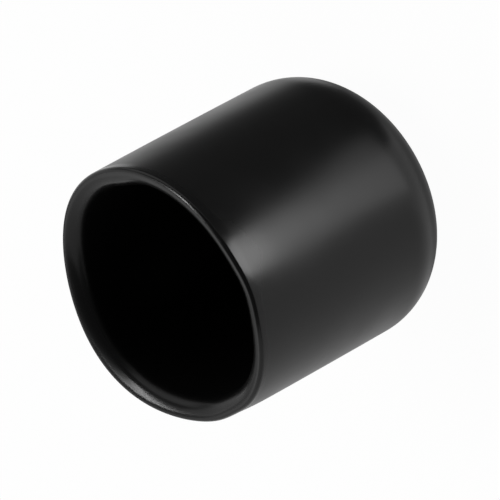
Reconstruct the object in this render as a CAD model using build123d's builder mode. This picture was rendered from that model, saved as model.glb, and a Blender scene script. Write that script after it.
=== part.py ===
from build123d import *
import os

# Round push-on end cap in soft black vinyl, for the open end of a 25.4 mm (1 in) round tube.
# It is one moulding, a cup whose bore has the shape of the former that it was made on, with an
# even skin all round it. Millimetres, +Z up. The cap stands on the flat of its closed end, the
# origin is the centre of that flat, and the tube enters from above.

# The former, which sets the inside of the cup.
BORE_DIAMETER = 25.0       # stretches over the tube and grips it
BORE_DEPTH = 28.8          # from the lip to the inside of the closed end
BORE_CORNER_RADIUS = 5.05  # between the bore wall and the inside of the closed end

# The skin over the former.
WALL = 2.25                # side wall, and round the foot
END_THICKNESS = 2.4        # the closed end, which takes the wear

# The lip.
LEAD_IN_RADIUS = 1.8       # inside edge, rounded so that the tube finds its way in
LIP_BEVEL = 0.3            # outside edge, broken so that it does not catch

# Each edge of the lip takes no more than this share of the wall that it is cut in.
LEAD_IN_SHARE = 0.8
LIP_SHARE = 0.14

bore_radius = BORE_DIAMETER / 2
outside_radius = bore_radius + WALL
overall_length = BORE_DEPTH + END_THICKNESS
foot_rounding = BORE_CORNER_RADIUS + WALL
lead_in = min(LEAD_IN_RADIUS, LEAD_IN_SHARE * WALL)
lip_bevel = min(LIP_BEVEL, LIP_SHARE * WALL)

with BuildPart() as cap:
    # Outside: a round bar, with the deep rounding of the closed end at its foot.
    with BuildSketch(Plane.XY):
        Circle(outside_radius)
    extrude(amount=overall_length)
    foot = cap.faces().sort_by(Axis.Z)[0]
    fillet(foot.edges(), radius=foot_rounding)

    # Inside: the straight bore, blind, with its rounded bottom corner.
    with BuildSketch(Plane.XY.offset(overall_length)):
        Circle(bore_radius)
    extrude(amount=-BORE_DEPTH, mode=Mode.SUBTRACT)
    bore_bottom = cap.faces(Select.LAST).sort_by(Axis.Z)[0]
    fillet(bore_bottom.edges(), radius=BORE_CORNER_RADIUS)

    # Lip: the flat rim keeps a narrow land between its rounded inside edge and its outside edge.
    rim_edges = cap.faces().sort_by(Axis.Z)[-1].edges().sort_by(SortBy.RADIUS)
    fillet(rim_edges[0], radius=lead_in)
    rim_edges = cap.faces().sort_by(Axis.Z)[-1].edges().sort_by(SortBy.RADIUS)
    chamfer(rim_edges[-1], length=lip_bevel)

cap.part.label = "cap"

os.makedirs("parts", exist_ok=True)
export_step(cap.part, "parts/cap.step")
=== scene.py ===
import math

import bmesh
import bpy
from mathutils import Matrix, Vector


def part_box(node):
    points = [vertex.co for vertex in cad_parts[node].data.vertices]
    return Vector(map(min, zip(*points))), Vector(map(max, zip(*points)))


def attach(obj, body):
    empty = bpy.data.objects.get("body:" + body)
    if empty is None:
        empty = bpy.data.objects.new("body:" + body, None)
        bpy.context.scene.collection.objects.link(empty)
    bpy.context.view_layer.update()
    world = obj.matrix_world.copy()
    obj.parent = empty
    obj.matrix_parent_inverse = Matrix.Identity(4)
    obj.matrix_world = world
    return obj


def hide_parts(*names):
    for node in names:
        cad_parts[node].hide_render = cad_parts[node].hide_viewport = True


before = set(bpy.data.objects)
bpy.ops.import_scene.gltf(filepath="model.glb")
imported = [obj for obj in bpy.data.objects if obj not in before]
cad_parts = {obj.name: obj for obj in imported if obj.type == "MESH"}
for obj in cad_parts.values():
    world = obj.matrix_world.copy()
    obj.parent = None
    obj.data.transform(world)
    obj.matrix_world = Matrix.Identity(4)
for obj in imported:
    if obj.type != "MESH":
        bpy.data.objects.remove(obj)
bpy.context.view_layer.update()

# The cap: one cup-shaped moulding in soft black vinyl, open at the mouth and closed at the foot.
# Its skin is much the same all round, the inside edge of the lip is rounded to lead the tube in,
# and the cap holds by its grip on the tube alone. All sizes are in metres.
low_corner, high_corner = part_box("cap")
cap_length = high_corner[2] - low_corner[2]
outside_radius = (high_corner[0] - low_corner[0]) / 2
WALL = 0.00225
END_THICKNESS = 0.0024
BORE_CORNER = 0.00505
LEAD_IN = 0.00183
LIP_ROUNDING = 0.0004
TURN_STEPS = 192
WALL_LOOPS = 40
bore_radius = outside_radius - WALL
foot_rounding = BORE_CORNER + WALL

# Points that are nearer to each other than this are in the same place.
HAIR = 1e-6

section = [
    (0, 0),
    (outside_radius, 0),
    (outside_radius, cap_length),
    (bore_radius, cap_length),
    (bore_radius, END_THICKNESS),
    (0, END_THICKNESS),
]
cup = bmesh.new()
corners = [cup.verts.new((radius, 0, height)) for radius, height in section]
for start, end in zip(corners, corners[1:]):
    cup.edges.new((start, end))
bmesh.ops.spin(
    cup,
    geom=cup.verts[:] + cup.edges[:],
    axis=(0, 0, 1),
    cent=(0, 0, 0),
    angle=math.tau,
    steps=TURN_STEPS,
    use_merge=True,
)
bmesh.ops.remove_doubles(cup, verts=cup.verts, dist=HAIR)
bmesh.ops.recalc_face_normals(cup, faces=cup.faces)


def sharp_ring(radius, height):
    """The edges of the turned section that lie at this radius and this height."""
    return [
        edge
        for edge in cup.edges
        if all(
            abs(math.hypot(end.co.x, end.co.y) - radius) < HAIR and abs(end.co.z - height) < HAIR
            for end in edge.verts
        )
    ]


# Each rounded edge: its radius and height on the section, its rounding and the steps in it.
ROUNDED_EDGES = {
    "foot": (outside_radius, 0, foot_rounding, 24),
    "bore corner": (bore_radius, END_THICKNESS, BORE_CORNER, 12),
    "lead-in": (bore_radius, cap_length, LEAD_IN, 16),
    "outside of the lip": (outside_radius, cap_length, LIP_ROUNDING, 8),
}
for radius, height, rounding, steps in ROUNDED_EDGES.values():
    bmesh.ops.bevel(
        cup,
        geom=sharp_ring(radius, height),
        offset=rounding,
        offset_type="OFFSET",
        segments=steps,
        profile=0.5,
        affect="EDGES",
        material=-1,
    )
wall_edges = [edge for edge in cup.edges if edge.calc_length() > cap_length / 2]
bmesh.ops.subdivide_edges(cup, edges=wall_edges, cuts=WALL_LOOPS, use_grid_fill=True)

# Soft vinyl comes off its former out of true, most of all at the mouth and less down the wall.
# A wave runs all round: its number of crests, its height and the heading of one crest in degrees.
# A dip is in one place: its depth, its heading, its half width in degrees and its reach down.
SLACK_DEPTH = 0.028
BELLY = 0.00005
OUT_OF_ROUND_WAVES = [
    (2, 0.000145, 51.4),
    (3, 0.000123, -16.2),
    (4, 0.000094, 21.7),
    (5, 0.000037, 34.5),
]
OUT_OF_LEVEL_WAVES = [(1, 0.000110, 141.2), (2, 0.000163, 7.3), (3, 0.000146, 54.9)]
LEVEL_DIPS = [(0.00025, -106, 12, 0.008), (-0.00029, -62, 38, 0.008)]
PINCHES = [(0.00019, -177, 10, 0.0025)]
THICK_SPOTS = [(0.00042, -14, 11, 0.004), (-0.0003, 40, 24, 0.004)]


def waves(table, heading):
    return sum(
        size * math.cos(crests * (heading - math.radians(crest))) for crests, size, crest in table
    )


def dips(table, heading, depth):
    total = 0
    for size, middle, half_width, reach_down in table:
        turn = (math.degrees(heading) - middle + 180) % 360 - 180
        total += size * math.exp(-((turn / half_width) ** 2) - (depth / reach_down) ** 2)
    return total


for vert in cup.verts:
    reach = math.hypot(vert.co.x, vert.co.y)
    if reach > HAIR:
        heading = math.atan2(vert.co.y, vert.co.x)
        depth = cap_length - vert.co.z
        down = min(depth / SLACK_DEPTH, 1)
        slack = math.cos(math.pi / 2 * down) ** 2
        inward = (outside_radius - LIP_ROUNDING - reach) / (WALL - LIP_ROUNDING)
        inside_share = min(max(inward, 0), 1)
        spread = slack * waves(OUT_OF_ROUND_WAVES, heading) - dips(PINCHES, heading, depth)
        spread += BELLY * math.sin(math.pi * down)
        spread -= inside_share * dips(THICK_SPOTS, heading, depth)
        swell = 1 + spread / outside_radius
        vert.co.x *= swell
        vert.co.y *= swell
        drop = waves(OUT_OF_LEVEL_WAVES, heading) + dips(LEVEL_DIPS, heading, depth)
        vert.co.z -= slack * drop * reach / outside_radius
for face in cup.faces:
    face.smooth = True

cap_mesh = bpy.data.meshes.new("cap_moulding")
cup.to_mesh(cap_mesh)
cup.free()
cap = bpy.data.objects.new("cap_moulding", cap_mesh)
bpy.context.scene.collection.objects.link(cap)

# The vinyl is satin down the wall and smoother on the lip, with one spot beside it that handling
# has polished. The former leaves the bore a little smoother than the wall, and a slow mottle and
# a very fine grain break up the shine.
VINYL_BLACK = (0.003, 0.003, 0.003, 1)
VINYL_IOR = 1.34
WALL_ROUGHNESS = 0.36
LIP_ROUGHNESS = 0.23
BORE_ROUGHNESS = 0.3
POLISH = 0.1
POLISH_HEADING = math.radians(-93)
POLISH_REACH = (0.0010, 0.0095)
MOTTLE_SIZE = 0.006
MOTTLE_DETAIL = 3
MOTTLE_RANGE = (0.25, 0.75)
MOTTLE_DEPTH = 0.03
GRAIN_SIZE = 0.0005
GRAIN_DETAIL = 2
GRAIN_DEPTH = 0.0000015

# The lip's finish is full down to this depth below its top, and the wall's and the bore's are
# full below theirs. Across the skin, the bore's is full this near to the bore and the lip's
# beyond its own distance from it.
LIP_FINISH_DEPTH = 0.0004
WALL_FINISH_DEPTH = 0.0013
BORE_FINISH_DEPTH = 0.0008
BORE_FINISH_SKIN = 0.0008
LIP_FINISH_SKIN = 0.0012


def add_node(tree, kind, inputs):
    """A node with its inputs, each of which is a plain value or a socket to link."""
    node = tree.nodes.new(kind)
    for name, value in inputs.items():
        if isinstance(value, bpy.types.NodeSocket):
            tree.links.new(value, node.inputs[name])
        else:
            node.inputs[name].default_value = value
    return node


def reckon(tree, operation, first, second):
    """Two numbers, each plain or a socket, put together by a Math node."""
    node = add_node(tree, "ShaderNodeMath", {0: first, 1: second})
    node.operation = operation
    return node.outputs[0]


def fade(tree, value, near, far, at_near, at_far):
    """A soft step from one number to another as the value goes from near to far."""
    ends = {"From Min": near, "From Max": far, "To Min": at_near, "To Max": at_far}
    node = add_node(tree, "ShaderNodeMapRange", {"Value": value, **ends})
    node.interpolation_type = "SMOOTHSTEP"
    return node.outputs["Result"]


def measure(tree, operation, first, second=(0, 0, 0)):
    """A Vector Math node on two places, of which the second may be left out."""
    node = add_node(tree, "ShaderNodeVectorMath", {0: first, 1: second})
    node.operation = operation
    return node.outputs


def mottle(tree, place, size, detail):
    inputs = {"Vector": place, "Scale": 1 / size, "Detail": detail}
    return add_node(tree, "ShaderNodeTexNoise", inputs).outputs[0]


vinyl = bpy.data.materials.new("black_vinyl")
vinyl.use_nodes = True
tree = vinyl.node_tree
skin = tree.nodes["Principled BSDF"]
skin.inputs["Base Color"].default_value = VINYL_BLACK
skin.inputs["IOR"].default_value = VINYL_IOR

place = add_node(tree, "ShaderNodeTexCoord", {}).outputs["Object"]
height = add_node(tree, "ShaderNodeSeparateXYZ", {0: place}).outputs["Z"]
flat_place = measure(tree, "MULTIPLY", place, (1, 1, 0))["Vector"]
from_axis = measure(tree, "LENGTH", flat_place)["Value"]
polish_spot = (
    outside_radius * math.cos(POLISH_HEADING),
    outside_radius * math.sin(POLISH_HEADING),
    cap_length,
)
from_spot = measure(tree, "DISTANCE", place, polish_spot)["Value"]

lip_bottom = cap_length - LIP_FINISH_DEPTH
wall_top = cap_length - WALL_FINISH_DEPTH
bore_top = cap_length - BORE_FINISH_DEPTH
satin = fade(tree, height, wall_top, lip_bottom, WALL_ROUGHNESS, LIP_ROUGHNESS)
polish = fade(tree, from_spot, *POLISH_REACH, -POLISH, 0)
rubbed = reckon(tree, "MAXIMUM", reckon(tree, "ADD", satin, polish), LIP_ROUGHNESS)
cloud = mottle(tree, place, MOTTLE_SIZE, MOTTLE_DETAIL)
uneven = fade(tree, cloud, *MOTTLE_RANGE, -MOTTLE_DEPTH, MOTTLE_DEPTH)
below_lip = fade(tree, height, bore_top, lip_bottom, 1, 0)
inside = fade(
    tree, from_axis, bore_radius + BORE_FINISH_SKIN, bore_radius + LIP_FINISH_SKIN, 1, 0
)
roughness = add_node(
    tree,
    "ShaderNodeMix",
    {
        "Factor": reckon(tree, "MULTIPLY", below_lip, inside),
        "A": reckon(tree, "ADD", rubbed, uneven),
        "B": BORE_ROUGHNESS,
    },
)
grain = mottle(tree, place, GRAIN_SIZE, GRAIN_DETAIL)
bump = add_node(tree, "ShaderNodeBump", {"Strength": 1, "Distance": GRAIN_DEPTH, "Height": grain})
tree.links.new(roughness.outputs["Result"], skin.inputs["Roughness"])
tree.links.new(bump.outputs["Normal"], skin.inputs["Normal"])
cap_mesh.materials.append(vinyl)

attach(cap, "root")
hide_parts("cap")

# The floor: a plain white sheet of paper under the foot. The camera and the gloss of the vinyl
# see it glow nearly white, and the rest of it is matt and keeps a soft shadow of the cap.
FLOOR_SIZE = 2.0
PAPER_WHITE = (0.8, 0.8, 0.8, 1)
GLOW_SHARE = 0.97
floor_mesh = bpy.data.meshes.new("floor")
sheet = bmesh.new()
bmesh.ops.create_grid(sheet, x_segments=1, y_segments=1, size=FLOOR_SIZE / 2)
sheet.to_mesh(floor_mesh)
sheet.free()
floor = bpy.data.objects.new("floor", floor_mesh)
bpy.context.scene.collection.objects.link(floor)

paper = bpy.data.materials.new("white_paper")
paper.use_nodes = True
tree = paper.node_tree
tree.nodes.clear()
rays = add_node(tree, "ShaderNodeLightPath", {}).outputs
seen = reckon(tree, "MAXIMUM", rays["Is Camera Ray"], rays["Is Glossy Ray"])
seen = reckon(tree, "MAXIMUM", seen, rays["Is Transmission Ray"])
surface = add_node(
    tree,
    "ShaderNodeMixShader",
    {
        0: reckon(tree, "MULTIPLY", seen, GLOW_SHARE),
        1: add_node(tree, "ShaderNodeBsdfDiffuse", {"Color": PAPER_WHITE}).outputs[0],
        2: add_node(tree, "ShaderNodeEmission", {}).outputs[0],
    },
)
add_node(tree, "ShaderNodeOutputMaterial", {"Surface": surface.outputs[0]})
floor_mesh.materials.append(paper)

# The lamps: flat soft panels that the camera does not see. Two small ones lie face up on the
# floor before the cap, four large dim ones stand round it, and one bright strip hangs overhead.

# Those on the floor: x, y, width, height, turn in degrees and radiance.
FLOOR_PANEL_HEIGHT = 0.001
FLOOR_PANELS = {
    "front_near": (0.0011, -0.0318, 0.0175, 0.0221, 13.6, 1.85),
    "front_far": (-0.0015, -0.0695, 0.026, 0.0534, 0, 7.2),
}

# Those that stand: heading and elevation in degrees from the lip, width, height and radiance.
STANDING_PANEL_DISTANCE = 0.8
STANDING_PANEL_TARGET = (0, 0, 0.03)
STANDING_PANELS = {
    "right_low": (-5, 23, 0.92, 0.36, 1.0),
    "back_right": (56, 28, 0.46, 0.62, 0.8),
    "back_middle": (85, 23, 0.38, 0.58, 0.42),
    "back_left": (149, 37, 2.0, 0.80, 0.70),
}


def hang_panel(name, width, height, radiance, placing):
    panel = bpy.data.lights.new(name, "AREA")
    panel.shape = "RECTANGLE"
    panel.size, panel.size_y = width, height
    panel.energy = radiance * math.pi * width * height
    lamp = bpy.data.objects.new(name, panel)
    bpy.context.scene.collection.objects.link(lamp)
    lamp.matrix_world = placing
    lamp.visible_camera = False


def facing(middle, target):
    turned = (Vector(target) - Vector(middle)).to_track_quat("-Z", "Y")
    return Matrix.Translation(middle) @ turned.to_matrix().to_4x4()


for name, (x, y, width, height, turn, radiance) in FLOOR_PANELS.items():
    upwards = facing((x, y, FLOOR_PANEL_HEIGHT), (x, y, 1))
    turned = Matrix.Rotation(math.radians(turn), 4, "Z")
    hang_panel(name, width, height, radiance, upwards @ turned)
for name, (heading, elevation, width, height, radiance) in STANDING_PANELS.items():
    level = STANDING_PANEL_DISTANCE * math.cos(math.radians(elevation))
    middle = (
        level * math.cos(math.radians(heading)),
        level * math.sin(math.radians(heading)),
        cap_length + STANDING_PANEL_DISTANCE * math.sin(math.radians(elevation)),
    )
    hang_panel(name, width, height, radiance, facing(middle, STANDING_PANEL_TARGET))

# The strip overhead hangs square on to the lip, between two directions seen from its middle.
KEY_ENDS = ((0.165, 0.53, 0.83), (0.544, -0.052, 0.84))
KEY_DISTANCE = 0.7
KEY_WIDTH = 0.045
KEY_RADIANCE = 32.0
lip_middle = Vector((0, 0, cap_length))
near_end, far_end = (lip_middle + KEY_DISTANCE * Vector(end).normalized() for end in KEY_ENDS)
middle = (near_end + far_end) / 2
along = (far_end - near_end).normalized()
away = (middle - lip_middle).normalized()
square_on = Matrix((along, away.cross(along), away)).transposed().to_4x4()
placing = Matrix.Translation(middle) @ square_on
hang_panel("key", (far_end - near_end).length, KEY_WIDTH, KEY_RADIANCE, placing)

# The cards: dark ones beside the cap, before it and behind it, a grey one on its other side and
# a grey disc under the foot. The disc is painted shade: it glows a dim grey in place of the cap's
# contact shadow on the floor, as the gloss of the vinyl would see it. Only the gloss of the vinyl
# picks them up: the camera does not see them and they cast no shadow.
CARD_HEIGHT = 0.0008
CARD_COLOUR = (0.02, 0.02, 0.02, 1)
UNDER_RADIUS = 0.0145
UNDER_STEPS = 64
UNDER_HEIGHT = 0.00005
CONTACT_SHADOW_GLOW = 0.32


def lying(outline):
    return [(x, y, CARD_HEIGHT) for x, y in outline]


def standing(y, half_width, top):
    return [(-half_width, y, 0), (half_width, y, 0), (half_width, y, top), (-half_width, y, top)]


# Each card has its glow and the outlines that it is cut to.
CARDS = {
    "side_flag": (0.1, [
        lying([(0.0038, -0.0154), (0.0038, -0.16), (0.20, -0.16), (0.20, 0.155)]),
    ]),
    "back_flag": (0.02, [
        lying([(-0.04, 0.055), (0.04, 0.055), (0.09, 0.3), (-0.09, 0.3)]),
        standing(0.3, 0.09, 0.08),
        standing(-0.5, 0.42, 0.13),
    ]),
    "grey_card": (0.77, [
        lying([
            (-0.015, -0.0045),
            (-0.0085, -0.0165),
            (-0.015, -0.12),
            (-0.25, -0.12),
            (-0.25, 0.25),
            (-0.015, 0.04),
        ]),
    ]),
}


def set_up_card(name, card, glow):
    card_mesh = bpy.data.meshes.new(name)
    card.to_mesh(card_mesh)
    card.free()
    sheet = bpy.data.objects.new(name, card_mesh)
    bpy.context.scene.collection.objects.link(sheet)
    board = bpy.data.materials.new(name)
    board.use_nodes = True
    surface = board.node_tree.nodes["Principled BSDF"]
    surface.inputs["Base Color"].default_value = CARD_COLOUR
    surface.inputs["Roughness"].default_value = 1
    surface.inputs["Emission Color"].default_value = (1, 1, 1, 1)
    surface.inputs["Emission Strength"].default_value = glow
    card_mesh.materials.append(board)
    sheet.visible_camera = False
    sheet.visible_shadow = False
    sheet.visible_diffuse = False


for name, (glow, outlines) in CARDS.items():
    card = bmesh.new()
    for outline in outlines:
        card.faces.new([card.verts.new(corner) for corner in outline])
    set_up_card(name, card, glow)
# Painted shade: a dim glowing disc under the foot, seen only in the gloss, that stands in for the
# contact shadow.
under = bmesh.new()
lifted = Matrix.Translation((0, 0, UNDER_HEIGHT))
bmesh.ops.create_circle(
    under, cap_ends=True, segments=UNDER_STEPS, radius=UNDER_RADIUS, matrix=lifted
)
set_up_card("painted_contact_shadow_card", under, CONTACT_SHADOW_GLOW)

# The camera: a long lens that looks down into the mouth, turned on its side. It is aimed at a
# point just beside the middle of the cap.
CAMERA_ELEVATION = math.radians(37.39)
CAMERA_ROLL = math.radians(118.83)
CAMERA_DISTANCE = 0.7925
AIM_X, AIM_Z = -0.00022, 0.01777
SENSOR_WIDTH = 36
FOCAL_LENGTH = 540
lens = bpy.data.cameras.new("camera")
camera = bpy.data.objects.new("camera", lens)
bpy.context.scene.collection.objects.link(camera)
lens.sensor_width = SENSOR_WIDTH
lens.lens = FOCAL_LENGTH
camera.rotation_mode = "ZYX"
camera.rotation_euler = (math.pi / 2 - CAMERA_ELEVATION, 0, -CAMERA_ROLL)
camera.location = (
    AIM_X,
    -CAMERA_DISTANCE * math.cos(CAMERA_ELEVATION),
    AIM_Z + CAMERA_DISTANCE * math.sin(CAMERA_ELEVATION),
)
bpy.context.scene.camera = camera

# The room: a low white wall all round, and dim above it. The top of the wall is soft, between
# two elevations that are given by their sines.
ROOM_WALL_GLOW = 1.0
ROOM_GLOW = 0.1
ROOM_WALL_TOP = (0.10, 0.16)
world = bpy.data.worlds.new("studio")
world.use_nodes = True
tree = world.node_tree
aim = add_node(tree, "ShaderNodeTexCoord", {}).outputs["Generated"]
rise = add_node(tree, "ShaderNodeSeparateXYZ", {0: aim}).outputs["Z"]
sky = tree.nodes["Background"]
sky.inputs["Color"].default_value = (1, 1, 1, 1)
brightness = fade(tree, rise, *ROOM_WALL_TOP, ROOM_WALL_GLOW, ROOM_GLOW)
tree.links.new(brightness, sky.inputs["Strength"])
bpy.context.scene.world = world
bpy.context.scene.view_settings.view_transform = "Standard"
